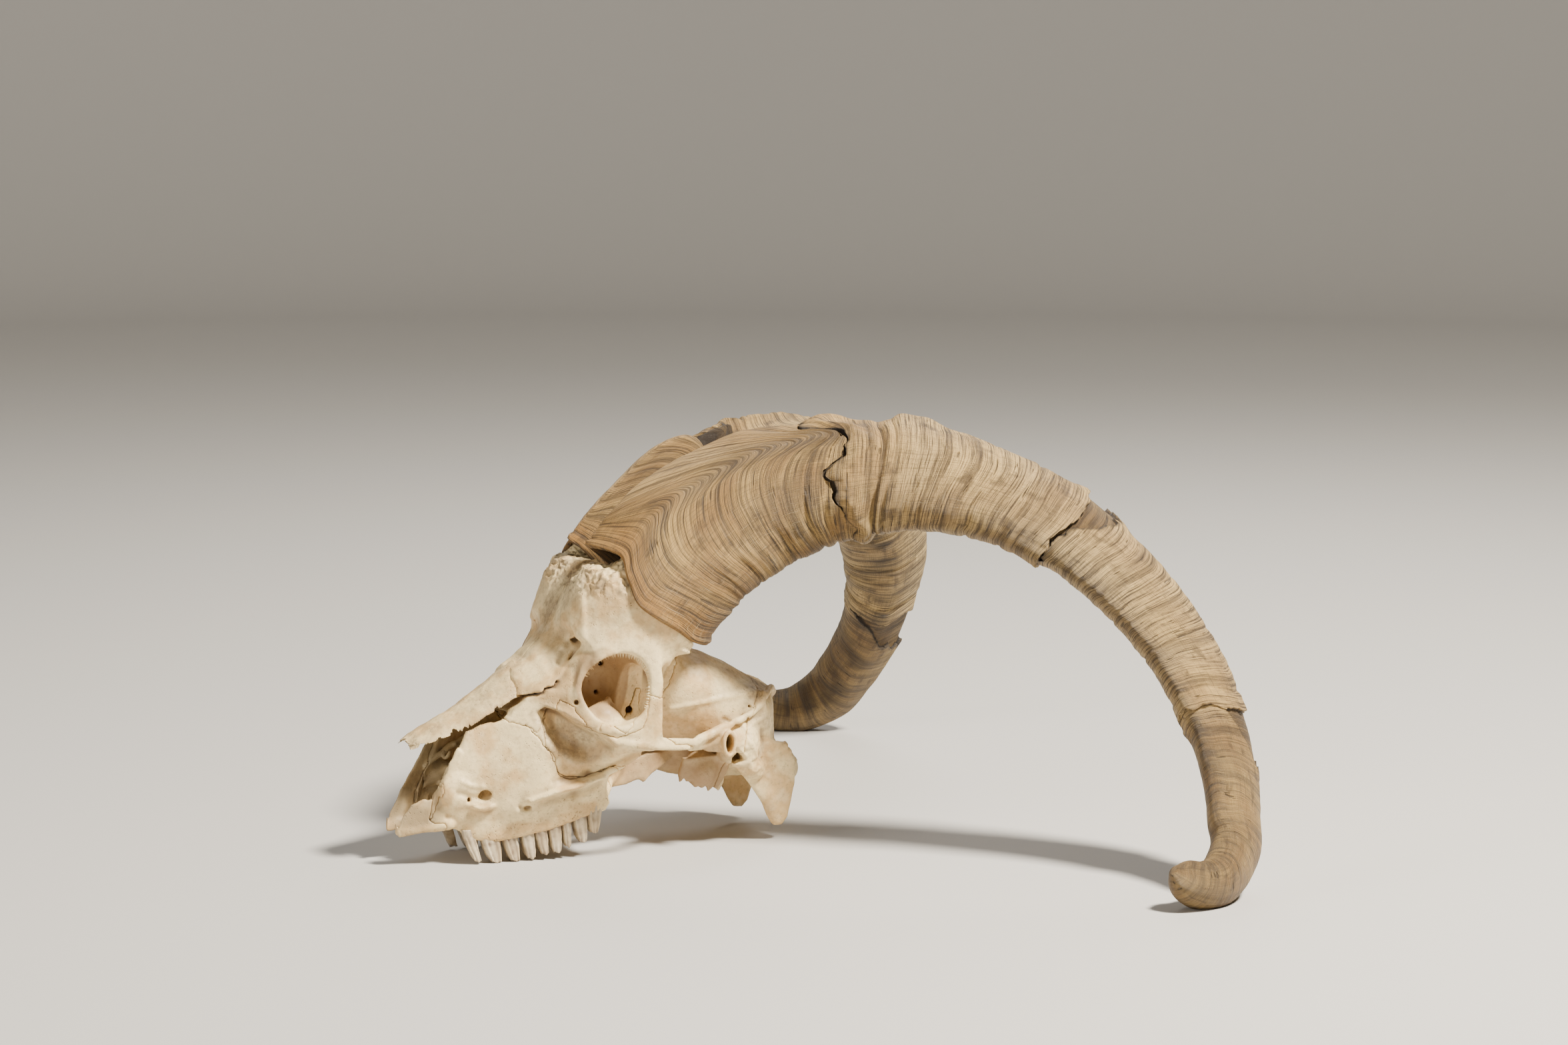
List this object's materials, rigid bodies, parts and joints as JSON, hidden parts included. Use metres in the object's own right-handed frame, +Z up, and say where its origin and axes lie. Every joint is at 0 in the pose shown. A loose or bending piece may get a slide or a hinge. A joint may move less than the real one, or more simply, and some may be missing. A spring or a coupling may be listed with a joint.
{
  "type": "goat skull",
  "caption": "Skull of a billy goat without its lower jaw, with long keeled horns that sweep back and outwards, resting on its front cheek teeth and horn tips.",
  "frame": {"origin": "on the ground, below the middle of the whole skull and horns, seen from above", "axes": "+Z up, -X the way the face points, -Y the skull's left side"},
  "size_m": [0.4222, 0.575, 0.2431],
  "materials": {
    "bone": "matte, dry warm ivory bone, brown-grey in its pores and hollows",
    "horn": "matte to satin, straw and grey-brown horn with fine growth rings and lengthwise fibres",
    "teeth": "satin, ivory enamel with brown and purplish stains"
  },
  "bodies": {
    "root": {"cranium": "bone", "maxilla_left": "bone", "maxilla_right": "bone", "zygomatic_left": "bone", "zygomatic_right": "bone", "nasal_left": "bone", "nasal_right": "bone", "premaxilla_left": "bone", "premaxilla_right": "bone", "horn_base_left": "horn", "horn_base_right": "horn", "horn_upper_left": "horn", "horn_upper_right": "horn", "horn_lower_left": "horn", "horn_lower_right": "horn", "horn_tip_left": "horn", "horn_tip_right": "horn"}
  },
  "joints": []
}
